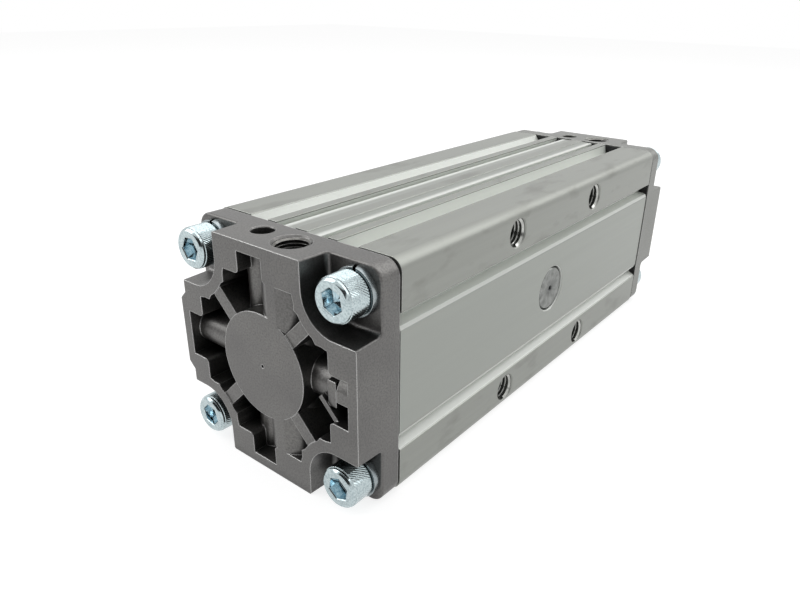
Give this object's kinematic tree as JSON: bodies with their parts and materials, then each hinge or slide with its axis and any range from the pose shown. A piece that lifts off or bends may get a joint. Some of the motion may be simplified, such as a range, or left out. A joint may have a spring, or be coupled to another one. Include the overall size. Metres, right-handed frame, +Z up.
{
  "type": "rotary actuator",
  "caption": "Square rack-and-pinion rotary actuator: air turns a keyed output shaft half a turn, between two die-cast end covers, with threaded mounting holes in both wide faces.",
  "frame": {"origin": "where the output shaft's axis meets the shaft-side mounting face", "axes": "+X from the shaft-side mounting face to the rear face, +Y along the body away from the near cover, +Z up to the ports and switch slots; the output shaft points to -X"},
  "size_m": [0.142, 0.2646, 0.092],
  "materials": {
    "anodised_body": "clear anodised extrusion, satin, with brighter as-extruded grooves",
    "cast_cover": "die-cast, dark grey, fine cast grain, machined outer faces",
    "zinc_bolt": "bright zinc plating with a blue tint in the sockets",
    "spring_washer": "zinc plated spring steel",
    "gasket": "black sheet gasket, matt",
    "retainer": "turned, satin",
    "small_screw": "zinc plated",
    "seal": "black nitrile",
    "bearing_ring": "ground",
    "bearing_ball": "polished",
    "slider": "sintered bronze",
    "shaft_steel": "turned and ground",
    "rack_steel": "hobbed, oiled",
    "piston": "turned",
    "wear_ring": "filled resin",
    "magnet": "moulded rubber magnet"
  },
  "bodies": {
    "housing": {"body": "anodised_body", "near_cover": "cast_cover", "far_cover": "cast_cover", "near_cover_bolts": "zinc_bolt", "far_cover_bolts": "zinc_bolt", "near_spring_washers": "spring_washer", "far_spring_washers": "spring_washer", "near_cover_gasket": "gasket", "far_cover_gasket": "gasket", "bearing_retainer": "retainer", "retainer_screws": "small_screw", "shaft_seal": "seal", "front_bearing_outer_ring": "bearing_ring", "rear_bearing_outer_ring": "bearing_ring", "rack_slider": "slider"},
    "shaft": {"pinion_shaft": "shaft_steel", "front_bearing_inner_ring": "bearing_ring", "rear_bearing_inner_ring": "bearing_ring"},
    "rack_unit": {"rack": "rack_steel", "near_piston": "piston", "far_piston": "piston", "near_piston_bolts": "small_screw", "far_piston_bolts": "small_screw", "near_piston_seal": "seal", "far_piston_seal": "seal", "near_wear_ring": "wear_ring", "far_wear_ring": "wear_ring", "near_magnet": "magnet", "far_magnet": "magnet"},
    "ball_sets": {"front_bearing_balls": "bearing_ball", "rear_bearing_balls": "bearing_ball"}
  },
  "joints": [
    {"name": "shaft_turn", "type": "hinge", "parent": "housing", "child": "shaft", "pos_m": [0.046, 0, 0], "axis": [1, 0, 0], "range_deg": [-90, 90]},
    {"name": "rack_slide", "type": "slide", "parent": "housing", "child": "rack_unit", "axis": [0, 1, 0], "range_m": [-0.02356, 0.02356]},
    {"name": "ball_orbit", "type": "hinge", "parent": "housing", "child": "ball_sets", "pos_m": [0.046, 0, 0], "axis": [1, 0, 0], "range_deg": [-36, 36]}
  ],
  "couplings": [
    {"joint": "shaft_turn", "follows": "rack_slide", "rad_per_m": 66.667},
    {"joint": "ball_orbit", "follows": "rack_slide", "rad_per_m": 26.507}
  ]
}
